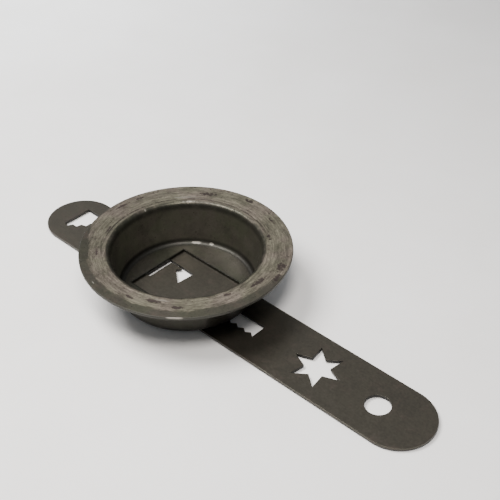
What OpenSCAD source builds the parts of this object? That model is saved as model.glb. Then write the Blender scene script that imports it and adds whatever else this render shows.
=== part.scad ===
// Biscuit attachment for a hand-cranked meat mincer.
// A pressed funnel cup is clamped by its flange in the mincer's ring nut. A flat slide with
// cutting-die holes runs in two folded guide rails under the cup's floor window.
// The origin is the centre of the flange's seating face, +Z out of the mouth and +X along the
// slide towards its long end. Millimetres.

/* [Cup] */
// Radius of the flange's outer edge
seat_r = 34; // [33:0.5:36]
// Radius of the mouth, at the inside of the wall just under the flange
mouth_r = 24.2; // [23.5:0.1:25]
// Seating face to the underside of the floor
cup_depth = 16.2; // [13:0.1:20]
// Thickness of the cup's sheet
sheet_t = 0.9; // [0.6:0.1:1.1]
// Radius of the bend from flange to wall, on the side that shows
bend_r = 1.5; // [1.3:0.1:2]
// Radius of the inside corner between wall and floor
floor_fillet = 1.4; // [1:0.1:3]
// Lean of the wall from the vertical, degrees
wall_taper = 9; // [4:1:10]

/* [Window] */
// Length of the opening in the floor, along the slide
window_l = 28.4; // [24:0.1:29]
// Width of the opening in the floor
window_w = 23.8; // [20:0.1:23.8]

/* [Slide] */
// Width of the slide
slide_w = 23.9; // [23.9:0.1:24.1]
// Thickness of the slide
slide_t = 0.8; // [0.6:0.1:1]
// Cup axis to the long end of the slide
long_end = 95.9; // [92:0.1:110]
// Cup axis to the short end of the slide
short_end = 65.9; // [63:0.1:80]
// Clearance above and below the slide
slide_gap = 0.1; // [0.08:0.01:0.2]

/* [Guide rails] */
// Thickness of the rails' sheet
rail_t = 0.5; // [0.4:0.1:0.8]
// Length of a rail
rail_l = 26; // [20:1:28]
// Width of the foot that is soldered to the floor
rail_foot = 3; // [2:0.5:4]
// How far the lip reaches under the slide's edge
rail_lip = 2.4; // [1.5:0.1:3]
// Clearance between a rail and the slide's edge
rail_gap = 0.12; // [0.1:0.01:0.2]

/* [Dies] */
// Cup axis to the centre of the round die
round_x = 77.5; // [76:0.1:78]
// Radius of the round die
round_r = 3.95; // [3:0.05:5]
// Cup axis to the centre of the star die
star_x = 54.9; // [54:0.1:57]
// Radius of the star's six tips
star_tip_r = 8.4; // [6:0.1:9]
// Radius of the star's inner corners
star_in_r = 4; // [3:0.1:5]
// Cup axis to the near end of the ribbed ribbon die
ribbon_x = 31.7; // [30:0.1:33]
// Number of teeth on the ribbon die
ribbon_teeth = 5; // [3:1:5]
// Distance from tooth to tooth
tooth_pitch = 3.05; // [2.6:0.05:3.2]
// Height of a tooth
tooth_h = 1.1; // [0.8:0.1:1.5]
// Height of the ribbon die, from its straight side to its tooth tips
ribbon_h = 5.9; // [5:0.1:6.5]
// Side of the fan and pennant dies, measured across the slide
wedge_h = 10.9; // [9:0.1:11.5]
// Cup axis to the straight side of the fan die
fan_x = 56.9; // [56:0.1:58]
// Radius of the fan die's toothed edge
fan_r = 11.95; // [11:0.05:12.5]
// Cup axis to the near end of the pennant die
pennant_x = 3.1; // [2:0.1:4]
// Length of the pennant die, along the slide
pennant_l = 11.3; // [10:0.1:12]

/* [Hidden] */

$fn = 96;
cut = 1;               // how far a cutting solid runs past the faces it cuts
floor_top = sheet_t - cup_depth;
slide_top = -cup_depth - slide_gap;
slide_bottom = slide_top - slide_t;
lip_top = slide_bottom - slide_gap;
lip_bottom = lip_top - rail_t;
web_y = slide_w / 2 + rail_gap;
rail_bend = rail_t + 0.1;
wedge_lift = 0.35;     // the fan and the pennant sit this far above the slide's middle line
ribbon_drop = 0.45;    // the ribbon sits this far below it
die_top_y = wedge_h / 2 + wedge_lift;

// Centres of the two bends in the cup's section
rim_c = [mouth_r + bend_r, -bend_r];
wall_top = rim_c + bend_r * [cos(180 - wall_taper), sin(180 - wall_taper)];
wall_foot_z = floor_top + floor_fillet * (1 - sin(wall_taper));
wall_foot_r = wall_top.x - (wall_top.y - wall_foot_z) * tan(wall_taper);
foot_c = [wall_foot_r - floor_fillet * cos(wall_taper), floor_top + floor_fillet];

function arc(c, r, a0, a1, steps = 12) =
    [for (i = [0 : steps]) let (a = a0 + (a1 - a0) * i / steps) c + r * [cos(a), sin(a)]];

// Section of the cup's sheet: seating face, mouth bend, wall, floor, and back along the outside
function cup_section() = concat(
    [[seat_r, 0]],
    arc(rim_c, bend_r, 90, 180 - wall_taper),
    arc(foot_c, floor_fillet, -wall_taper, -90),
    [[0, floor_top], [0, -cup_depth]],
    arc(foot_c, floor_fillet + sheet_t, -90, -wall_taper),
    arc(rim_c, bend_r - sheet_t, 180 - wall_taper, 90),
    [[seat_r, -sheet_t]]
);

module funnel_cup() {
    color([0.46, 0.44, 0.39])
    difference() {
        rotate_extrude() polygon(cup_section());
        translate([-window_l / 2, -window_w / 2, -cup_depth - cut])
            cube([window_l, window_w, sheet_t + 2 * cut]);
    }
}

// Z-section of the rail on the +Y side: foot under the floor, web beside the slide, lip under it
function rail_section() = concat(
    [[web_y + rail_t + rail_foot, -cup_depth]],
    arc([web_y + rail_bend, -cup_depth - rail_bend], rail_bend, 90, 180, 6),
    [[web_y, lip_top], [slide_w / 2 - rail_lip, lip_top], [slide_w / 2 - rail_lip, lip_bottom]],
    arc([web_y + rail_t - rail_bend, lip_bottom + rail_bend], rail_bend, -90, 0, 6),
    [[web_y + rail_t, -cup_depth - rail_t], [web_y + rail_t + rail_foot, -cup_depth - rail_t]]
);

// The foot's outer corners are cut to the round of the cup's flat underside
module guide_rail() {
    color([0.36, 0.35, 0.31])
    intersection() {
        rotate([90, 0, 90]) translate([0, 0, -rail_l / 2])
            linear_extrude(rail_l) polygon(rail_section());
        translate([0, 0, lip_bottom - cut])
            cylinder(h = cup_depth + 2 * cut, r = foot_c.x);
    }
}

module left_guide_rail() guide_rail();

module right_guide_rail() mirror([0, 1, 0]) guide_rail();

module slide_outline() {
    end_r = slide_w / 2;
    translate([end_r - short_end, -end_r]) square([long_end + short_end - slide_w, slide_w]);
    translate([end_r - short_end, 0]) circle(end_r);
    translate([long_end - end_r, 0]) circle(end_r);
}

module star_die() polygon([for (i = [0 : 11]) let (r = i % 2 == 0 ? star_tip_r : star_in_r)
    r * [cos(30 * i), sin(30 * i)]]);

// A bar with one straight and one saw-toothed side; the tooth tips point to -Y
module ribbon_die() {
    ribbon_l = ribbon_teeth * tooth_pitch;
    polygon(concat([[0, ribbon_h / 2], [-ribbon_l, ribbon_h / 2]],
        [for (i = [0 : 2 * ribbon_teeth])
            [i * tooth_pitch / 2 - ribbon_l, (i % 2 == 0 ? 0 : tooth_h) - ribbon_h / 2]]));
}

// A right-angled wedge whose long side is a saw-toothed arc, from its foot up to the straight top
module fan_die() {
    arc_lift = 0.5;
    top_flat = 0.7;
    foot_a = -asin((wedge_h + arc_lift) / fan_r);
    arc_c = [-fan_r * cos(foot_a), arc_lift];
    step = tooth_pitch / 2 / fan_r * 180 / PI;
    saw = [for (i = [0 : 8]) let (r = fan_r + (i % 2 == 0 ? 0 : tooth_h), a = foot_a + i * step)
        arc_c + r * [cos(a), sin(a)]];
    polygon(concat([[0, 0]], saw, [[saw[8].x + top_flat, 0]]));
}

// A pennant on its staff: a narrow upright slot joined along the top to a wedge with a blunt tip
module pennant_die() {
    staff_x = 1.45 - pennant_l;
    staff_l = wedge_h - 0.2;
    link_h = 0.8;
    wedge_foot = [-0.6, -6.9];
    blunt_tip = [-6.1, -2.5];
    polygon([[0, -0.25], wedge_foot, blunt_tip, [blunt_tip.x + 1.3, -link_h],
        [staff_x, -link_h], [staff_x, -staff_l], [-pennant_l, -staff_l], [-pennant_l, 0]]);
}

module die_slide() {
    color([0.28, 0.27, 0.24])
    translate([0, 0, slide_bottom]) linear_extrude(slide_t) difference() {
        slide_outline();
        translate([round_x, 0]) circle(round_r);
        translate([star_x, 0]) star_die();
        translate([ribbon_x, -ribbon_drop]) ribbon_die();
        translate([-pennant_x, die_top_y]) pennant_die();
        translate([-fan_x, die_top_y]) fan_die();
    }
}

funnel_cup();
left_guide_rail();
right_guide_rail();
die_slide();
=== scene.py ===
import math

import bmesh
import bpy
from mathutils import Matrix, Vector, noise


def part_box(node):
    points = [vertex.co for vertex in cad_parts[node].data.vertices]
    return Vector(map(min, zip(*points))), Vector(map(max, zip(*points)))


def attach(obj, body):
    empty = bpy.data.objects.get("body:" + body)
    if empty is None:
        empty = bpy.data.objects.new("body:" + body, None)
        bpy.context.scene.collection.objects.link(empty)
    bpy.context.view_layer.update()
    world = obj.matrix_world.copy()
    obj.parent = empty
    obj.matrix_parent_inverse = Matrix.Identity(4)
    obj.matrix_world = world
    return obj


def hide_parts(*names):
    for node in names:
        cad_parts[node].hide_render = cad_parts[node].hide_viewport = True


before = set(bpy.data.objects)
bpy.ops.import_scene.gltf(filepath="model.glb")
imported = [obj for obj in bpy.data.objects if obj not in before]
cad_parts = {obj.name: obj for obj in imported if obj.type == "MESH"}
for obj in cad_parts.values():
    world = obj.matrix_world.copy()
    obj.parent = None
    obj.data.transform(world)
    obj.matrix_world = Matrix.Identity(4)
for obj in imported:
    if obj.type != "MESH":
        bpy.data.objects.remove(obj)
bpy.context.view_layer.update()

# A biscuit attachment for a hand-cranked mincer, put together from the table up: a funnel cup, two
# guide rails under its floor and a slide with five dies. Metres, in the CAD frame.

# ---------------------------------------------------------------------------------------------
# The attachment stands on its guide rails on a plain white table, under a soft lamp on the left
# and a smaller one in front. A weak lamp lifts the table's far left, and the room is pale above
# and dim near the table, so little light gets in under the cup.
# ---------------------------------------------------------------------------------------------
rail_low, rail_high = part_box("left_guide_rail")
table_z = rail_low.z
table_half = 15.0
table_white = (0.86, 0.86, 0.86, 1.0)
table_worn = (0.74, 0.73, 0.71, 1.0)


def new_object(name, mesh):
    obj = bpy.data.objects.new(name, mesh)
    bpy.context.scene.collection.objects.link(obj)
    return obj


class Wiring:
    """Adds nodes to a tree and joins them: values are sockets, numbers or colours."""

    def __init__(self, tree):
        self.tree = tree

    def node(self, kind, values=None, **settings):
        made = self.tree.nodes.new(kind)
        for key, value in settings.items():
            setattr(made, key, value)
        for key, value in (values or {}).items():
            self.set(made.inputs[key], value)
        return made

    def set(self, socket, value):
        if isinstance(value, bpy.types.NodeSocket):
            self.tree.links.new(value, socket)
        else:
            socket.default_value = value

    def math(self, operation, a, b=0.0, c=0.0):
        return self.node("ShaderNodeMath", {0: a, 1: b, 2: c}, operation=operation).outputs[0]

    def plus(self, a, b):
        return self.math("ADD", a, b)

    def minus(self, a, b):
        return self.math("SUBTRACT", a, b)

    def times(self, a, b):
        return self.math("MULTIPLY", a, b)

    def ramp(self, value, low, high, out_low=0.0, out_high=1.0):
        """A smooth change from out_low to out_high while the value goes from low to high."""
        made = self.node("ShaderNodeMapRange", {"Value": value, "From Min": low, "From Max": high,
                                                "To Min": out_low, "To Max": out_high},
                         interpolation_type="SMOOTHSTEP")
        return made.outputs[0]

    def mix(self, factor, a, b, blend="MIX"):
        made = self.node("ShaderNodeMix", data_type="RGBA", blend_type=blend)
        self.set(made.inputs["Factor"], factor)
        self.set(made.inputs[6], a)
        self.set(made.inputs[7], b)
        return made.outputs[2]

    def shaded(self, colour, value):
        """The colour made darker or lighter by a value."""
        grey = self.node("ShaderNodeCombineColor", {0: value, 1: value, 2: value}).outputs[0]
        return self.mix(1.0, colour, grey, "MULTIPLY")

    def noise(self, vector, scale, detail=4.0, rough=0.55, distortion=0.0):
        made = self.node("ShaderNodeTexNoise", {"Vector": vector, "Scale": scale, "Detail": detail,
                                                "Roughness": rough, "Distortion": distortion})
        return made.outputs["Fac"]

    def object_point(self):
        return self.node("ShaderNodeTexCoord").outputs["Object"]

    def scaled(self, vector, factors, offset=(0.0, 0.0, 0.0)):
        return self.node("ShaderNodeMapping", {"Vector": vector, "Location": offset,
                                               "Scale": factors}).outputs[0]

    def split(self, vector):
        return self.node("ShaderNodeSeparateXYZ", {0: vector}).outputs

    def joined(self, x, y, z):
        return self.node("ShaderNodeCombineXYZ", {0: x, 1: y, 2: z}).outputs[0]

    def dot(self, a, b):
        made = self.node("ShaderNodeVectorMath", {0: a, 1: b}, operation="DOT_PRODUCT")
        return made.outputs["Value"]


def new_material(name):
    """An empty material, its shader and the wiring of its tree."""
    material = bpy.data.materials.new(name)
    material.use_nodes = True
    nodes = material.node_tree.nodes
    nodes.clear()
    output = nodes.new("ShaderNodeOutputMaterial")
    shader = nodes.new("ShaderNodeBsdfPrincipled")
    material.node_tree.links.new(shader.outputs["BSDF"], output.inputs["Surface"])
    return material, shader, Wiring(material.node_tree)


table_mesh = bpy.data.meshes.new("table_top")
table_mesh.from_pydata(
    [(-table_half, -table_half, table_z), (table_half, -table_half, table_z),
     (table_half, table_half, table_z), (-table_half, table_half, table_z)],
    [], [(0, 1, 2, 3)])
table = new_object("table_top", table_mesh)
table_paint, table_shader, table_wires = new_material("table_white")
worn_clouds = table_wires.noise(table_wires.object_point(), 22.0, 6.0, 0.6)
table_wires.set(table_shader.inputs["Base Color"],
                table_wires.mix(worn_clouds, table_white, table_worn))
table_shader.inputs["Roughness"].default_value = 0.55
table_shader.inputs["Specular IOR Level"].default_value = 0.25
table.data.materials.append(table_paint)


def area_light(name, place, target, size, watts, colour):
    light = bpy.data.lights.new(name, "AREA")
    light.shape = "DISK"
    light.size = size
    light.energy = watts
    light.color = colour
    obj = new_object(name, light)
    obj.location = place
    aim = Vector(target) - Vector(place)
    obj.rotation_euler = aim.to_track_quat("-Z", "Y").to_euler()
    return obj


area_light("key_softbox", place=(-0.130, -0.098, 0.32), target=(-0.04, -0.02, 0.0),
           size=0.20, watts=2.6, colour=(1.0, 0.975, 0.95))
area_light("front_softbox", place=(0.120, -0.110, 0.30), target=(0.0, 0.0, 0.0),
           size=0.10, watts=1.10, colour=(1.0, 0.95, 0.90))
far_light = area_light("far_table_light", place=(-0.32, 0.14, 0.36), target=(-0.32, 0.14, 0.0),
                       size=0.20, watts=0.70, colour=(0.93, 0.965, 1.0))
far_light.data.spread = math.radians(75)

room_colour = (0.95, 0.965, 1.0, 1.0)
room_brightest_way = (-0.24, -0.04, 0.97)
room_dim = 0.08
room_bright = 0.64

world = bpy.data.worlds.new("pale_room")
world.use_nodes = True
background = world.node_tree.nodes["Background"]
background.inputs["Color"].default_value = room_colour
room_wires = Wiring(world.node_tree)
room_direction = room_wires.node("ShaderNodeTexCoord").outputs["Generated"]
room_upward = room_wires.dot(room_direction, room_brightest_way)
room_wires.set(background.inputs["Strength"],
               room_wires.ramp(room_upward, 0.0, 0.95, room_dim, room_bright))
bpy.context.scene.world = world

# ---------------------------------------------------------------------------------------------
# The camera stands to the right of the slide's long end, about a third of a metre from the cup,
# and looks down on it.
# ---------------------------------------------------------------------------------------------
mm = 0.001
camera_place = (188.6 * mm, -173.0 * mm, 196.8 * mm)
camera_down = math.radians(37.84)
camera_heading = math.radians(132.94)

camera_data = bpy.data.cameras.new("camera")
camera_data.sensor_width = 36.0
camera_data.lens = 73.3
camera_data.clip_start = 0.01
camera_data.clip_end = 40.0
camera = new_object("camera", camera_data)
camera.location = camera_place
camera.rotation_euler = (math.pi / 2 - camera_down, 0.0, camera_heading - math.pi / 2)
bpy.context.scene.camera = camera

# ---------------------------------------------------------------------------------------------
# The funnel cup is pressed from one round of tinned sheet steel: flange, bend, leaning wall and
# floor, with a rectangular window punched in the floor. The mincer's barrel has rubbed a bright
# ring on the flange; the rest has gone dull and dark.
# ---------------------------------------------------------------------------------------------
cup_low, cup_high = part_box("funnel_cup")
seat_r = cup_high.x
cup_depth = -cup_low.z
sheet_t = 0.9 * mm
mouth_r = 24.2 * mm
bend_r = 1.5 * mm
corner_r = 1.4 * mm
wall_lean = math.radians(9.0)
window_half = Vector((14.2 * mm, 11.9 * mm))
window_round = 0.05 * mm
edge_round = 0.14 * mm
around = 360

# how far use has bent the pressing out of true, and the crease beside the bend
flange_sag = 0.16 * mm
rim_pull = 0.14 * mm
dent_depth = 0.22 * mm
dent_size = 9 * mm
crease_at = 140
crease_r = 26.55 * mm
crease_half = 0.30 * mm
crease_depth = 0.20 * mm
shoulder_r = crease_r + 1.1 * mm
shoulder_half = 0.9 * mm
shoulder_depth = 0.12 * mm


def arc_points(centre, radius, start, end, steps):
    angles = [math.radians(start + (end - start) * i / steps) for i in range(steps + 1)]
    return [(centre[0] + radius * math.cos(a), centre[1] + radius * math.sin(a)) for a in angles]


def line_points(a, b, steps):
    """Points between a and b, without the two ends."""
    return [(a[0] + (b[0] - a[0]) * i / steps, a[1] + (b[1] - a[1]) * i / steps)
            for i in range(1, steps)]


def smooth_step(low, high, value):
    t = min(max((value - low) / (high - low), 0.0), 1.0)
    return t * t * (3.0 - 2.0 * t)


floor_top = sheet_t - cup_depth
lean_deg = math.degrees(wall_lean)
rim_centre = (mouth_r + bend_r, -bend_r)
wall_head = arc_points(rim_centre, bend_r, 90, 180 - lean_deg, 1)[-1]
wall_foot_z = floor_top + corner_r * (1 - math.sin(wall_lean))
wall_foot_r = wall_head[0] - (wall_head[1] - wall_foot_z) * math.tan(wall_lean)
foot_centre = (wall_foot_r - corner_r * math.cos(wall_lean), floor_top + corner_r)
flat_r = foot_centre[0]

inside = (
    arc_points((seat_r - edge_round, -edge_round), edge_round, 0, 90, 4)
    + line_points((seat_r - edge_round, 0.0), (rim_centre[0], 0.0), 30)
    + arc_points(rim_centre, bend_r, 90, 180 - lean_deg, 10))
inside += line_points(inside[-1], (wall_foot_r, wall_foot_z), 12)
inside += arc_points(foot_centre, corner_r, -lean_deg, -90, 10)
outside = arc_points(foot_centre, corner_r + sheet_t, -90, -lean_deg, 10)
outer_head = arc_points(rim_centre, bend_r - sheet_t, 180 - lean_deg, 90, 5)
outside += line_points(outside[-1], outer_head[0], 10) + outer_head
outside += line_points(outside[-1], (seat_r - edge_round, -sheet_t), 10)
outside += arc_points((seat_r - edge_round, edge_round - sheet_t), edge_round, -90, 0, 3)


def press_marks(x, y, z):
    """Small unevenness of a hand-worn pressing: a wavy flange, a nicked rim and a dented wall."""
    r = math.hypot(x, y)
    turn = math.atan2(y, x)
    on_flange = smooth_step(mouth_r + bend_r, seat_r, r)
    on_wall = smooth_step(floor_top + 3 * mm, floor_top + 7 * mm, z) * (1.0 - on_flange)
    wave = 0.5 + 0.22 * math.sin(2 * turn + 0.7) + 0.14 * math.sin(5 * turn + 2.1)
    nicks = 0.5 + 0.3 * math.sin(3 * turn + 1.0) + 0.2 * math.sin(8 * turn)
    sag = on_flange * wave * flange_sag
    pull = on_flange * nicks * rim_pull
    dent = noise.noise(Vector((x, y, z)) / dent_size) * on_wall * dent_depth
    crease = 0.0
    if z > -0.6 * mm:
        strength = 0.25 + 0.75 * smooth_step(-0.1, 0.5, math.cos(turn - math.radians(crease_at)))
        line = math.exp(-((r - crease_r) / crease_half) ** 2)
        shoulder = math.exp(-((r - shoulder_r) / shoulder_half) ** 2)
        crease = strength * (crease_depth * line + shoulder_depth * shoulder)
    scale = (r - pull + dent) / r
    return x * scale, y * scale, z - sag - crease


def ring(r, z):
    points = []
    for i in range(around):
        a = math.tau * i / around
        points.append(press_marks(r * math.cos(a), r * math.sin(a), z))
    return points


def window_point(a, inset):
    """Where a ray at angle a meets the window's edge, drawn back by inset."""
    half_x = window_half.x + inset
    half_y = window_half.y + inset
    reach = min(half_x / max(abs(math.cos(a)), 1e-9), half_y / max(abs(math.sin(a)), 1e-9))
    corner = math.atan2(half_y, half_x)
    folded = math.atan2(abs(math.sin(a)), abs(math.cos(a)))
    if abs(folded - corner) < math.pi / around:
        return math.copysign(half_x, math.cos(a)), math.copysign(half_y, math.sin(a))
    return reach * math.cos(a), reach * math.sin(a)


def window_ring(inset, z, towards_flat=0.0):
    points = []
    for i in range(around):
        a = math.tau * i / around
        x, y = window_point(a, inset)
        x += (flat_r * math.cos(a) - x) * towards_flat
        y += (flat_r * math.sin(a) - y) * towards_flat
        points.append((x, y, z))
    return points


rings = [ring(r, z) for r, z in inside]
rings += [window_ring(window_round, floor_top, 1.0 - i / 10) for i in range(1, 11)]
for degrees in (60, 30, 0):
    a = math.radians(degrees)
    rings.append(window_ring(window_round * (1 - math.cos(a)),
                             floor_top - window_round * (1 - math.sin(a))))
rings.append(window_ring(0.0, -cup_depth))
rings += [window_ring(0.0, -cup_depth, i / 5) for i in range(1, 5)]
rings += [ring(r, z) for r, z in outside]

cup_mesh = bpy.data.meshes.new("funnel_cup_pressing")
cup_points = [p for points in rings for p in points]
cup_faces = []
for row in range(len(rings)):
    below = (row + 1) % len(rings)
    for i in range(around):
        j = (i + 1) % around
        cup_faces.append((row * around + i, below * around + i, below * around + j, row * around + j))
cup_mesh.from_pydata(cup_points, [], cup_faces)


def finish_mesh(mesh, sharp_deg=35):
    tidy = bmesh.new()
    tidy.from_mesh(mesh)
    bmesh.ops.remove_doubles(tidy, verts=tidy.verts, dist=0.000001)
    bmesh.ops.recalc_face_normals(tidy, faces=tidy.faces)
    for face in tidy.faces:
        face.smooth = True
    for edge in tidy.edges:
        edge.smooth = len(edge.link_faces) == 2 and edge.calc_face_angle(0) < math.radians(sharp_deg)
    tidy.to_mesh(mesh)
    tidy.free()


finish_mesh(cup_mesh)
cup = new_object("funnel_cup_pressing", cup_mesh)
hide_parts("funnel_cup")
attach(cup, "cup")


def group_tree(name, inputs, outputs):
    tree = bpy.data.node_groups.new(name, "ShaderNodeTree")
    for socket_name, kind, default in inputs:
        socket = tree.interface.new_socket(name=socket_name, in_out="INPUT", socket_type=kind)
        if default is not None:
            socket.default_value = default
    for socket_name, kind in outputs:
        tree.interface.new_socket(name=socket_name, in_out="OUTPUT", socket_type=kind)
    wires = Wiring(tree)
    entry = tree.nodes.new("NodeGroupInput")
    leave = tree.nodes.new("NodeGroupOutput")
    return tree, wires, entry.outputs, leave.inputs


def aged_tin_group():
    """Dull old tinning: cloudy tone, a bloom of rust or grease, dark specks and fine pitting."""
    tree, w, given, out = group_tree(
        "aged_tin",
        [("Vector", "NodeSocketVector", None), ("Tone", "NodeSocketColor", (0.2, 0.2, 0.17, 1)),
         ("Dark", "NodeSocketColor", (0.08, 0.075, 0.06, 1)),
         ("Bloom", "NodeSocketColor", (0.16, 0.11, 0.07, 1)), ("Cloud", "NodeSocketFloat", 0.5),
         ("Bloom Amount", "NodeSocketFloat", 0.3), ("Specks", "NodeSocketFloat", 0.5),
         ("Grain", "NodeSocketFloat", 0.1)],
        [("Color", "NodeSocketColor"), ("Roughness", "NodeSocketFloat"),
         ("Height", "NodeSocketFloat")])
    vector = given["Vector"]
    cloud = w.noise(vector, 130.0, 5.0, 0.6, 0.4)
    fine = w.noise(vector, 1500.0, 4.0, 0.6)
    grit = w.noise(vector, 4200.0, 2.0, 0.5)
    patches = w.noise(w.scaled(vector, (1, 1, 1), (0.3, 0.1, 0.2)), 240.0, 4.0, 0.65, 0.8)
    speck_field = w.noise(w.scaled(vector, (1, 1, 1), (0.7, 0.4, 0.1)), 620.0, 3.0, 0.6)
    speck = w.ramp(w.plus(speck_field, w.times(cloud, 0.25)), 0.755, 0.81)
    speck = w.times(speck, given["Specks"])
    clouded = w.times(w.ramp(cloud, 0.32, 0.72), given["Cloud"])
    colour = w.mix(clouded, given["Tone"], given["Dark"])
    bloom = w.times(w.ramp(patches, 0.48, 0.76), given["Bloom Amount"])
    colour = w.mix(bloom, colour, given["Bloom"])
    shade = w.math("MULTIPLY_ADD", w.ramp(fine, 0.25, 0.75, -1.0, 1.0), given["Grain"], 1.0)
    colour = w.shaded(colour, shade)
    colour = w.mix(w.times(speck, 0.8), colour, (0.02, 0.016, 0.014, 1))
    rough = w.plus(w.ramp(fine, 0.3, 0.7, -0.03, 0.05), w.times(bloom, 0.12))
    rough = w.plus(rough, w.times(speck, 0.25))
    height = w.minus(w.times(fine, 0.5), w.times(speck, 0.8))
    height = w.plus(height, w.times(grit, 0.25))
    w.set(out["Color"], colour)
    w.set(out["Roughness"], rough)
    w.set(out["Height"], height)
    return tree


def rubbed_lines_group():
    """Fine rubbing lines: noise stretched along the way that the metal was rubbed."""
    tree, w, given, out = group_tree(
        "rubbed_lines",
        [("Stretched Vector", "NodeSocketVector", None), ("Amount", "NodeSocketFloat", 1.0)],
        [("Mask", "NodeSocketFloat"), ("Height", "NodeSocketFloat")])
    broad = w.noise(given["Stretched Vector"], 1.0, 3.0, 0.6)
    hair = w.noise(w.scaled(given["Stretched Vector"], (3.1, 3.1, 3.1), (5.0, 2.0, 1.0)), 1.0, 2.0)
    lines = w.ramp(w.plus(w.times(broad, 0.6), w.times(hair, 0.4)), 0.36, 0.64)
    w.set(out["Mask"], w.times(lines, given["Amount"]))
    w.set(out["Height"], w.times(lines, given["Amount"]))
    return tree


def smudge_group():
    """One long smudge or scuff: an oval about a centre, ragged at its edge."""
    tree, w, given, out = group_tree(
        "smudge",
        [("Vector", "NodeSocketVector", None), ("Centre", "NodeSocketVector", None),
         ("Along", "NodeSocketVector", None), ("Length", "NodeSocketFloat", 0.003),
         ("Width", "NodeSocketFloat", 0.001), ("Ragged", "NodeSocketFloat", 0.8)],
        [("Mask", "NodeSocketFloat")])
    offset = w.node("ShaderNodeVectorMath", {0: given["Vector"], 1: given["Centre"]},
                    operation="SUBTRACT").outputs[0]
    along = w.dot(offset, given["Along"])
    along_square = w.times(along, along)
    across_square = w.minus(w.dot(offset, offset), along_square)
    oval = w.plus(w.math("DIVIDE", along_square, w.math("POWER", given["Length"], 2.0)),
                  w.math("DIVIDE", across_square, w.math("POWER", given["Width"], 2.0)))
    torn = w.minus(w.noise(given["Vector"], 900.0, 4.0, 0.65), 0.5)
    oval = w.math("MULTIPLY_ADD", w.times(torn, 4.0), given["Ragged"], oval)
    w.set(out["Mask"], w.ramp(oval, 1.0, 0.35))
    return tree


aged_tin = aged_tin_group()
rubbed_lines = rubbed_lines_group()
smudge = smudge_group()


def place_group(w, tree, values):
    made = w.node("ShaderNodeGroup", node_tree=tree)
    for key, value in values.items():
        w.set(made.inputs[key], value)
    return made.outputs


class CupPoint:
    """A point of the cup as its material sees it: where it is, and which part of the pressing."""

    def __init__(self, w):
        self.w = w
        self.place = w.object_point()
        self.x, self.y, self.z = w.split(self.place)
        self.radius = w.math("SQRT", w.plus(w.times(self.x, self.x), w.times(self.y, self.y)))
        safe_radius = w.math("MAXIMUM", self.radius, 1e-6)
        self.round_x = w.math("DIVIDE", self.x, safe_radius)
        self.round_y = w.math("DIVIDE", self.y, safe_radius)

        # masks: 1 on that part of the pressing, 0 off it
        off_inner_wall = w.minus(w.minus(self.radius, wall_head[0]),
                                 w.times(self.z, math.tan(wall_lean)))
        self.in_cup = w.times(w.ramp(self.z, -0.3 * mm, -1.2 * mm),
                              w.ramp(self.radius, 26.5 * mm, 25.5 * mm))
        self.on_face = w.ramp(self.z, -0.75 * mm, -0.30 * mm)
        self.on_bend = w.times(w.ramp(self.radius, 25.8 * mm, 25.1 * mm),
                               w.ramp(self.z, -3.2 * mm, -1.6 * mm))
        self.on_floor = w.ramp(self.z, -12.8 * mm, -14.2 * mm)
        self.in_corner = w.ramp(self.radius, flat_r - 0.6 * mm, flat_r + 0.2 * mm)
        self.on_outer_wall = w.times(w.ramp(off_inner_wall, 0.35 * mm, 0.60 * mm),
                                     w.ramp(self.z, -0.7 * mm, -1.6 * mm))
        self.on_cut_edge = w.ramp(self.radius, seat_r - 0.40 * mm, seat_r - 0.22 * mm)

    def towards(self, degrees):
        """1 where the way out from the axis is this heading, 0 square to it, -1 opposite."""
        turn = math.radians(degrees)
        return self.w.plus(self.w.times(self.round_x, math.cos(turn)),
                           self.w.times(self.round_y, math.sin(turn)))


def floor_painted_shade(w, at):
    """Painted shade on the floor: darkest on the short-end side, in its corner and along the window's
    edge.
    """
    # painted shade: the floor gets lighter this way across it
    floor_lighter_way = (0.73, 0.68)
    along = w.plus(w.times(at.x, floor_lighter_way[0]), w.times(at.y, floor_lighter_way[1]))
    shade = w.ramp(along, -15 * mm, 6 * mm, 0.32, 0.74)
    # painted shade along the window's edge
    from_window = w.math("MAXIMUM", w.minus(w.math("ABSOLUTE", at.x), window_half.x),
                         w.minus(w.math("ABSOLUTE", at.y), window_half.y))
    shade = w.times(shade, w.ramp(from_window, 0.6 * mm, 0.10 * mm, 1.0, 0.40))
    # painted shade in the floor's corner, least at one heading so that a highlight stays there
    corner_shade = w.ramp(at.towards(corner_least_shade_at), 0.3, 0.95, 0.30, 0.50)
    corner_painted_shade = w.math("MULTIPLY_ADD", at.in_corner, w.minus(corner_shade, 1.0), 1.0)
    return w.times(shade, corner_painted_shade)


def cup_dull_colour(w, at, dull):
    """Dull tin, greener inside the cup, with painted shade on one side of the inside, on the floor
    and on the wall's outside under the flange.
    """
    inside_cup = place_group(w, aged_tin, {
        "Vector": at.place, "Tone": (0.092, 0.088, 0.069, 1), "Dark": (0.060, 0.059, 0.045, 1),
        "Bloom": (0.078, 0.086, 0.056, 1), "Cloud": 0.9, "Bloom Amount": 0.6, "Specks": 0.25,
        "Grain": 0.10})
    # painted shade: the inside is darker towards one side
    inside_shade = w.ramp(at.towards(wall_shade_at), -0.5, 0.9, 1.0, 0.72)
    inside_colour = w.shaded(inside_cup["Color"], inside_shade)
    colour = w.mix(at.in_cup, dull["Color"], inside_colour)
    colour = w.mix(at.on_floor, colour, w.shaded(inside_colour, floor_painted_shade(w, at)))
    # painted shade on the wall's outside, under the flange
    return w.mix(w.times(at.on_outer_wall, 0.7), colour, under_flange_shade)


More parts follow.
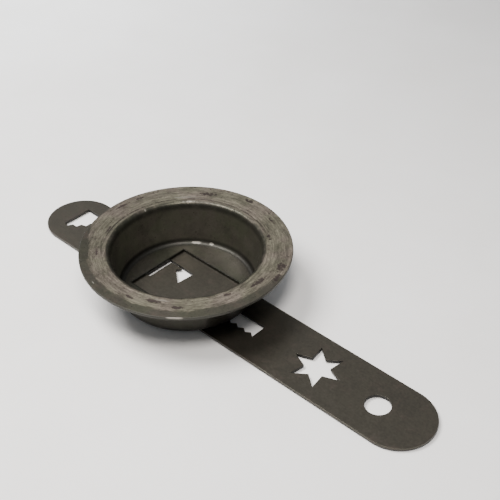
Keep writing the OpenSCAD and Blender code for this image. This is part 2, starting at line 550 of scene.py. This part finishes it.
def rubbed_ring(w, at, lines):
    """Where the barrel rubs: everywhere on the seating face but a crescent at the front."""
    crescent = w.ramp(at.towards(crescent_at), -0.22, 0.42)
    wander = w.minus(w.noise(at.place, 160.0, 3.0, 0.55), 0.5)
    tear = w.minus(lines["Mask"], 0.5)
    ring_edge = w.minus(ring_r, w.times(crescent, crescent_width))
    ring_edge = w.plus(ring_edge, w.times(wander, ring_wander))
    ring_edge = w.plus(ring_edge, w.times(tear, ring_tear))
    inside_edge = w.minus(ring_edge, at.radius)
    return w.times(w.ramp(inside_edge, -0.35 * mm, 0.45 * mm), at.on_face)


def crease_shade(w, at):
    """Painted shade along the line where the flat turns into the bend, broken on the far side."""
    off_line = w.math("ABSOLUTE", w.minus(at.radius, crease_r))
    line = w.times(w.ramp(off_line, 0.42 * mm, 0.15 * mm),
                   w.ramp(at.towards(crease_at), 0.10, 0.5))
    line = w.times(line, w.ramp(w.noise(at.place, 300.0, 3.0), 0.40, 0.50, 0.35, 1.0))
    return w.times(line, w.ramp(at.z, -1.0 * mm, -0.5 * mm))


def marks_on_cup(w, at, marks, ragged):
    """One mask for a list of marks, each of them long the way round the cup."""
    together = None
    for degrees, at_r, at_z, length, width in marks:
        turn = math.radians(degrees)
        mark = place_group(w, smudge, {
            "Vector": at.place, "Centre": (at_r * math.cos(turn), at_r * math.sin(turn), at_z),
            "Along": (-math.sin(turn), math.cos(turn), 0.0), "Length": length, "Width": width,
            "Ragged": ragged})["Mask"]
        together = mark if together is None else w.math("MAXIMUM", together, mark)
    return together


def set_bump(w, shader, height, strength, distance):
    bump = w.node("ShaderNodeBump", {"Height": height, "Strength": strength, "Distance": distance})
    w.set(shader.inputs["Normal"], bump.outputs[0])


# headings round the cup's axis, in degrees from the slide's long end
# heading where the inside gets the most painted shade
wall_shade_at = 45
# heading where the floor's corner gets the least painted shade
corner_least_shade_at = 125
# heading where the seating face gets the most painted shade
face_shade_at = 222
crescent_at = 292
# heading of the painted highlight on the rim's top corner
edge_glint_at = 310

# the rubbed ring reaches past the flange's edge, except where the crescent cuts it back
ring_r = 34.8 * mm
ring_wander = 2.2 * mm
ring_tear = 0.6 * mm
crescent_width = 4.0 * mm

# colour of the painted shade under the flange
under_flange_shade = (0.030, 0.028, 0.023, 1)
burnt_fat = (0.034, 0.024, 0.023, 1)
ring_fleck = (0.075, 0.060, 0.052, 1)
bend_shade_colour = (0.026, 0.026, 0.020, 1)
crease_shade_colour = (0.035, 0.030, 0.026, 1)
edge_dark = (0.024, 0.023, 0.018, 1)
edge_light_colour = (0.24, 0.22, 0.19, 1)
# light colour for bare scuffs and painted highlights
scuff_and_highlight_colour = (0.34, 0.32, 0.28, 1)
lilac_tint = (1.045, 0.985, 1.01, 1)
green_tint = (0.97, 1.0, 0.93, 1)

# marks: heading, distance from the axis, height, length and width
flange_smudges = (
    (165, 31.5 * mm, 0.0, 1.7 * mm, 0.7 * mm), (178, 31.6 * mm, 0.0, 2.2 * mm, 0.7 * mm),
    (121, 29.8 * mm, 0.0, 3.6 * mm, 1.0 * mm), (94, 32.0 * mm, 0.0, 2.0 * mm, 0.8 * mm),
    (54, 26.8 * mm, 0.0, 1.8 * mm, 0.7 * mm), (24, 31.6 * mm, 0.0, 2.6 * mm, 1.5 * mm),
    (7, 28.8 * mm, 0.0, 3.0 * mm, 0.9 * mm), (1, 28.6 * mm, 0.0, 1.5 * mm, 0.6 * mm),
    (343, 27.0 * mm, 0.0, 1.8 * mm, 0.6 * mm), (295, 27.6 * mm, 0.0, 3.0 * mm, 0.9 * mm),
    (311, 29.4 * mm, 0.0, 2.4 * mm, 0.7 * mm), (280, 29.0 * mm, 0.0, 1.6 * mm, 0.5 * mm),
    (228, 28.2 * mm, 0.0, 2.0 * mm, 0.5 * mm), (203, 27.2 * mm, 0.0, 2.4 * mm, 0.5 * mm),
    (14, 32.4 * mm, 0.0, 2.6 * mm, 0.9 * mm), (70, 30.6 * mm, 0.0, 2.4 * mm, 0.5 * mm))
# the marks at 136 and 134 degrees and the two low in the floor's corner are painted highlights; the
# rest are bare scuffs
scuffs_and_highlights = (
    (136, 27.5 * mm, 0.0, 5.2 * mm, 0.42 * mm), (134, 25.2 * mm, -0.4 * mm, 4.6 * mm, 0.40 * mm),
    (256, 32.6 * mm, 0.0, 0.9 * mm, 0.25 * mm), (169, 25.0 * mm, -0.5 * mm, 0.35 * mm, 0.6 * mm),
    (128, 21.6 * mm, floor_top + 0.5 * mm, 2.0 * mm, 0.6 * mm),
    (114, 21.7 * mm, floor_top + 0.6 * mm, 1.0 * mm, 0.6 * mm),
    (300, 26.8 * mm, 0.0, 3.0 * mm, 0.25 * mm))


def cup_finish():
    material, shader, w = new_material("cup_tinned_steel")
    at = CupPoint(w)
    dull = place_group(w, aged_tin, {
        "Vector": at.place, "Tone": (0.082, 0.078, 0.061, 1), "Dark": (0.058, 0.056, 0.043, 1),
        "Bloom": (0.108, 0.085, 0.066, 1), "Cloud": 0.8, "Bloom Amount": 0.5, "Specks": 0.3,
        "Grain": 0.12})
    bright = place_group(w, aged_tin, {
        "Vector": at.place, "Tone": (0.246, 0.221, 0.174, 1), "Dark": (0.152, 0.137, 0.106, 1),
        "Bloom": (0.122, 0.110, 0.086, 1), "Cloud": 0.9, "Bloom Amount": 0.8, "Specks": 0.8,
        "Grain": 0.14})
    swept = w.joined(w.times(at.round_x, 7.0), w.times(at.round_y, 7.0),
                     w.times(at.radius, 2400.0))
    lines = place_group(w, rubbed_lines, {"Stretched Vector": swept, "Amount": 1.0})

    # worn tin gives way in streaks and patches, so the dull metal under it shows through
    rubbed = rubbed_ring(w, at, lines)
    bright_colour = w.shaded(bright["Color"], w.ramp(lines["Mask"], 0.0, 1.0, 0.68, 1.20))
    streaks = w.noise(w.scaled(swept, (0.45, 0.45, 0.28)), 1.0, 4.0, 0.62)
    cover = w.times(rubbed, w.ramp(streaks, 0.28, 0.50, 0.35, 1.0))
    colour = w.mix(cover, cup_dull_colour(w, at, dull), bright_colour)
    # painted shade on the seating face, darker towards one side
    face_side_shade = w.ramp(at.towards(face_shade_at), 0.1, 0.95, 1.0, 0.78)
    colour = w.mix(at.on_face, colour, w.shaded(colour, face_side_shade))
    fleck_noise = w.noise(w.scaled(swept, (1.6, 1.6, 0.33), (3.0, 1.0, 2.0)), 1.0, 3.0, 0.6)
    flecks = w.times(w.ramp(fleck_noise, 0.63, 0.70), rubbed)
    colour = w.mix(w.times(flecks, 0.6), colour, ring_fleck)

    # the bend into the mouth is duller than the flat beside it, and painted shade on it, broken by
    # noise, damps its highlight
    bend_shade_amount = w.ramp(w.noise(at.place, 420.0, 4.0, 0.6), 0.45, 0.62, 0.94, 0.74)
    colour = w.mix(w.times(at.on_bend, bend_shade_amount), colour, bend_shade_colour)
    # painted shade in the crease
    colour = w.mix(w.times(crease_shade(w, at), 0.8), colour, crease_shade_colour)

    # the old tin's tint drifts between green and lilac
    drift = w.noise(w.scaled(at.place, (1, 1, 1), (0.2, 0.9, 0.4)), 105.0, 3.0)
    tint = w.mix(w.ramp(drift, 0.38, 0.62), lilac_tint, green_tint)
    colour = w.mix(1.0, colour, tint, "MULTIPLY")

    # smudges of burnt fat, bare scuffs and painted highlights
    smudges = w.times(marks_on_cup(w, at, flange_smudges, 1.1), at.on_face)
    scuff_and_highlight_marks = marks_on_cup(w, at, scuffs_and_highlights, 0.5)
    colour = w.mix(w.times(smudges, 0.9), colour, burnt_fat)
    colour = w.mix(w.times(scuff_and_highlight_marks, 0.5), colour, scuff_and_highlight_colour)

    # the sheet's cut edge is dark; its top corner has a painted highlight facing the front, and small
    # light bits elsewhere
    colour = w.mix(w.times(at.on_cut_edge, 0.9), colour, edge_dark)
    corner = w.times(at.on_cut_edge, w.ramp(at.z, -0.50 * mm, -0.38 * mm))
    glint_and_bits = w.math("MAXIMUM", w.ramp(at.towards(edge_glint_at), 0.9965, 0.9993),
                  w.ramp(w.noise(at.place, 160.0, 3.0), 0.71, 0.78))
    colour = w.mix(w.times(w.times(corner, glint_and_bits), 0.8), colour, edge_light_colour)
    w.set(shader.inputs["Base Color"], colour)

    rough = w.plus(0.29, w.mix(cover, dull["Roughness"], bright["Roughness"]))
    for mask, more in ((lines["Mask"], 0.05), (smudges, 0.15), (at.on_bend, 0.10),
                       (at.on_cut_edge, 0.15), (w.times(at.in_corner, at.on_floor), 0.15)):
        rough = w.plus(rough, w.times(mask, more))
    w.set(shader.inputs["Roughness"], rough)
    metal = w.math("MULTIPLY_ADD", at.in_cup, -0.23, 0.78)
    w.set(shader.inputs["Metallic"], w.math("MULTIPLY_ADD", at.on_cut_edge, -0.25, metal))
    height = w.plus(dull["Height"], w.times(w.times(lines["Height"], at.on_face), 0.6))
    height = w.minus(height, w.times(smudges, 0.8))
    set_bump(w, shader, height, 0.3, 0.04 * mm)
    return material


cup.data.materials.append(cup_finish())

# ---------------------------------------------------------------------------------------------
# The two guide rails are narrow strips of thin sheet folded to a Z. Each foot is soldered under
# the cup's floor, its web guides the slide's edge and its lip carries the slide.
# ---------------------------------------------------------------------------------------------
def sheared_copy(node_name, name, rounding):
    """A copy of a cut and folded part with its sheared edges slightly rounded."""
    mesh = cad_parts[node_name].data.copy()
    mesh.name = name
    mesh.materials.clear()
    merged = bmesh.new()
    merged.from_mesh(mesh)
    bmesh.ops.remove_doubles(merged, verts=merged.verts, dist=0.000002)
    bmesh.ops.dissolve_limit(merged, angle_limit=math.radians(0.5), verts=merged.verts,
                             edges=merged.edges)
    for face in merged.faces:
        face.smooth = True
    merged.to_mesh(mesh)
    merged.free()
    piece = new_object(name, mesh)
    bevel = piece.modifiers.new("rounded_edges", "BEVEL")
    bevel.width = rounding
    bevel.segments = 2
    bevel.limit_method = "ANGLE"
    bevel.angle_limit = math.radians(40)
    level = piece.modifiers.new("flat_faces_lead", "WEIGHTED_NORMAL")
    level.weight = 100
    level.keep_sharp = True
    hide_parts(node_name)
    return piece


def rail_finish():
    material, shader, w = new_material("rail_tinned_steel")
    place = w.object_point()
    dull = place_group(w, aged_tin, {
        "Vector": place, "Tone": (0.115, 0.107, 0.087, 1), "Dark": (0.075, 0.069, 0.056, 1),
        "Bloom": (0.12, 0.085, 0.06, 1), "Cloud": 0.7, "Bloom Amount": 0.4, "Specks": 0.5,
        "Grain": 0.12})
    along_rail = w.scaled(place, (70.0, 2400.0, 2400.0))
    lines = place_group(w, rubbed_lines, {"Stretched Vector": along_rail, "Amount": 1.0})
    shade = w.ramp(lines["Mask"], 0.0, 1.0, 0.92, 1.10)
    w.set(shader.inputs["Base Color"], w.shaded(dull["Color"], shade))
    w.set(shader.inputs["Roughness"], w.plus(0.36, dull["Roughness"]))
    shader.inputs["Metallic"].default_value = 0.8
    set_bump(w, shader, dull["Height"], 0.3, 0.04 * mm)
    return material


rail_steel = rail_finish()
for node_name in ("left_guide_rail", "right_guide_rail"):
    rail = sheared_copy(node_name, node_name + "_fold", 0.07 * mm)
    rail.data.materials.append(rail_steel)
    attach(rail, "cup")


def solder_finish():
    material, shader, w = new_material("old_solder")
    dull = place_group(w, aged_tin, {
        "Vector": w.object_point(), "Tone": (0.23, 0.225, 0.21, 1),
        "Dark": (0.13, 0.127, 0.118, 1), "Bloom": (0.15, 0.135, 0.11, 1), "Cloud": 0.8,
        "Bloom Amount": 0.5, "Specks": 0.4, "Grain": 0.10})
    w.set(shader.inputs["Base Color"], dull["Color"])
    w.set(shader.inputs["Roughness"], w.plus(0.38, dull["Roughness"]))
    shader.inputs["Metallic"].default_value = 0.8
    set_bump(w, shader, dull["Height"], 0.3, 0.05 * mm)
    return material


def solder_tree():
    """A lumpy bead of solder along each rail's foot, run in where the foot meets the floor."""
    tree = bpy.data.node_groups.new("solder_beads", "GeometryNodeTree")
    for socket_name, kind in (("Half Length", "NodeSocketFloat"), ("Foot Edge", "NodeSocketFloat"),
                              ("Height", "NodeSocketFloat"), ("Bead Radius", "NodeSocketFloat"),
                              ("Lump", "NodeSocketFloat"), ("Seed", "NodeSocketFloat"),
                              ("Metal", "NodeSocketMaterial")):
        tree.interface.new_socket(name=socket_name, in_out="INPUT", socket_type=kind)
    tree.interface.new_socket(name="Geometry", in_out="OUTPUT", socket_type="NodeSocketGeometry")
    w = Wiring(tree)
    given = tree.nodes.new("NodeGroupInput").outputs
    back = w.times(given["Half Length"], -1.0)
    runs = w.node("GeometryNodeJoinGeometry")
    for side in (-1.0, 1.0):
        edge = w.times(given["Foot Edge"], side)
        start = w.joined(back, edge, given["Height"])
        end = w.joined(given["Half Length"], edge, given["Height"])
        run = w.node("GeometryNodeCurvePrimitiveLine", {"Start": start, "End": end}).outputs[0]
        w.set(runs.inputs[0], run)
    points = w.node("GeometryNodeResampleCurve", {"Curve": runs.outputs[0], "Count": 90})
    lumps = w.node("ShaderNodeTexNoise", {"W": given["Seed"], "Scale": 420.0, "Detail": 2.0},
                   noise_dimensions="4D").outputs["Fac"]
    swell = w.math("MULTIPLY_ADD", w.ramp(lumps, 0.30, 0.70), given["Lump"], 0.6)
    ends = w.node("GeometryNodeSplineParameter").outputs["Factor"]
    from_end = w.math("MINIMUM", ends, w.minus(1.0, ends))
    radius = w.times(w.times(given["Bead Radius"], swell), w.ramp(from_end, 0.0, 0.03, 0.45, 1.0))
    round_bar = w.node("GeometryNodeCurvePrimitiveCircle", {"Resolution": 12, "Radius": 1.0})
    bead = w.node("GeometryNodeCurveToMesh", {
        "Curve": points.outputs[0], "Profile Curve": round_bar.outputs[0], "Scale": radius,
        "Fill Caps": True})
    smooth = w.node("GeometryNodeSetShadeSmooth", {0: bead.outputs[0]})
    plain = w.node("GeometryNodeRealizeInstances", {0: smooth.outputs[0]})
    metal = w.node("GeometryNodeSetMaterial", {"Geometry": plain.outputs[0],
                                               "Material": given["Metal"]})
    leave = tree.nodes.new("NodeGroupOutput")
    tree.links.new(metal.outputs[0], leave.inputs[0])
    return tree


solder_steps = solder_tree()
solder_inputs = {item.name: item.identifier for item in solder_steps.interface.items_tree
                 if item.in_out == "INPUT"}
solder_base = new_object("solder_base", bpy.data.meshes.new("solder_base"))
solder_run = solder_base.modifiers.new("solder_run", "NODES")
solder_run.node_group = solder_steps
for socket_name, value in (("Half Length", 10.8 * mm), ("Foot Edge", rail_high.y),
                           ("Height", -cup_depth - 0.05 * mm), ("Bead Radius", 0.52 * mm),
                           ("Lump", 0.7), ("Seed", 3.0), ("Metal", solder_finish())):
    solder_run[solder_inputs[socket_name]] = value
evaluated = solder_base.evaluated_get(bpy.context.evaluated_depsgraph_get())
solder_mesh = bpy.data.meshes.new_from_object(evaluated)
solder_base.modifiers.remove(solder_run)
bpy.data.objects.remove(solder_base)
finish_mesh(solder_mesh, sharp_deg=60)
solder = new_object("rail_solder_beads", solder_mesh)
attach(solder, "cup")

# ---------------------------------------------------------------------------------------------
# The slide is a flat strip of darker steel with round ends. Five dies are punched through it:
# a round, a star, a ribbed ribbon, a pennant and a ribbed fan.
# ---------------------------------------------------------------------------------------------
dies_half_width = 11.2 * mm
dies_from_x = -58.0 * mm
dies_to_x = 83.0 * mm
dies_fade = 0.2 * mm


def die_walls(w, coordinates):
    """1 on the dies' cut walls, 0 on the flat faces and on the strip's outer edge."""
    facing = w.split(coordinates["Normal"])
    where = w.split(coordinates["Object"])
    cut_wall = w.ramp(w.math("ABSOLUTE", facing[2]), 0.75, 0.35)
    in_width = w.ramp(w.math("ABSOLUTE", where[1]), dies_half_width + dies_fade,
                      dies_half_width - dies_fade)
    in_length = w.times(w.ramp(where[0], dies_from_x - dies_fade, dies_from_x + dies_fade),
                        w.ramp(where[0], dies_to_x + dies_fade, dies_to_x - dies_fade))
    return w.times(cut_wall, w.times(in_width, in_length))


def slide_finish():
    material, shader, w = new_material("slide_dark_steel")
    coordinates = w.node("ShaderNodeTexCoord").outputs
    place = coordinates["Object"]
    dull = place_group(w, aged_tin, {
        "Vector": place, "Tone": (0.056, 0.051, 0.040, 1), "Dark": (0.048, 0.044, 0.035, 1),
        "Bloom": (0.068, 0.053, 0.044, 1), "Cloud": 0.8, "Bloom Amount": 0.6, "Specks": 0.3,
        "Grain": 0.08})
    along_strip = w.scaled(place, (60.0, 2600.0, 2600.0))
    lines = place_group(w, rubbed_lines, {"Stretched Vector": along_strip, "Amount": 1.0})
    colour = w.shaded(dull["Color"], w.ramp(lines["Mask"], 0.0, 1.0, 0.97, 1.03))

    # painted shade: the dies' cut walls are near black and rougher inside the holes; the strip's
    # outer edge is left plain
    shaded_die_walls = die_walls(w, coordinates)
    colour = w.mix(w.times(shaded_die_walls, 0.85), colour, (0.010, 0.009, 0.008, 1))
    w.set(shader.inputs["Base Color"], colour)
    rough = w.math("MULTIPLY_ADD", shaded_die_walls, 0.25, w.plus(0.37, dull["Roughness"]))
    w.set(shader.inputs["Roughness"], rough)
    w.set(shader.inputs["Metallic"], w.math("MULTIPLY_ADD", shaded_die_walls, -0.4, 0.72))
    height = w.plus(dull["Height"], w.times(lines["Height"], 0.3))
    set_bump(w, shader, height, 0.2, 0.03 * mm)
    return material


slide = sheared_copy("die_slide", "die_slide_strip", 0.09 * mm)
slide.data.materials.append(slide_finish())
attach(slide, "slide")
